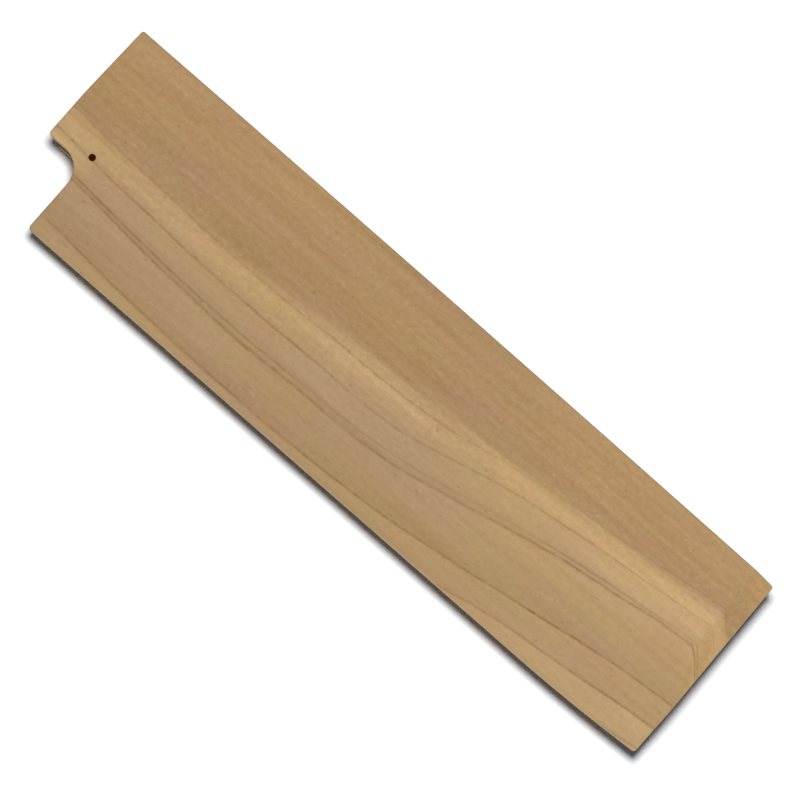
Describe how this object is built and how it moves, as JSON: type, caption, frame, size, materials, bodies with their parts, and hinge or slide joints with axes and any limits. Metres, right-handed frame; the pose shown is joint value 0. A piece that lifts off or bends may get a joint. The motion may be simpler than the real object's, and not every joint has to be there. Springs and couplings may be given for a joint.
{
  "type": "knife blade guard",
  "caption": "Wooden slip-on guard for a rectangular vegetable knife blade, with a pocket between two glued boards, a notch at the heel and a pull-out retaining pin.",
  "frame": {"origin": "centre of the bounding box in X and Y, on the flat back face", "axes": "+X from the handle end to the tip, +Y from the cutting edge to the spine, +Z from the flat back to the faceted front"},
  "size_m": [0.2374, 0.0636, 0.0155],
  "materials": {
    "front_wood": "planed and sanded bare wood, matte",
    "back_wood": "planed and sanded bare wood, matte",
    "spacer_wood": "planed bare wood, matte",
    "pin_wood": "dark hardwood, rubbed smooth"
  },
  "bodies": {
    "guard": {"front_board": "front_wood", "back_board": "back_wood", "spine_spacer": "spacer_wood", "edge_spacer": "spacer_wood", "tip_spacer": "spacer_wood"},
    "pin": {"retaining_pin": "pin_wood"}
  },
  "joints": [
    {"name": "pin_pull", "type": "slide", "parent": "guard", "child": "pin", "axis": [0, 0, 1], "range_m": [0, 0.02]}
  ]
}
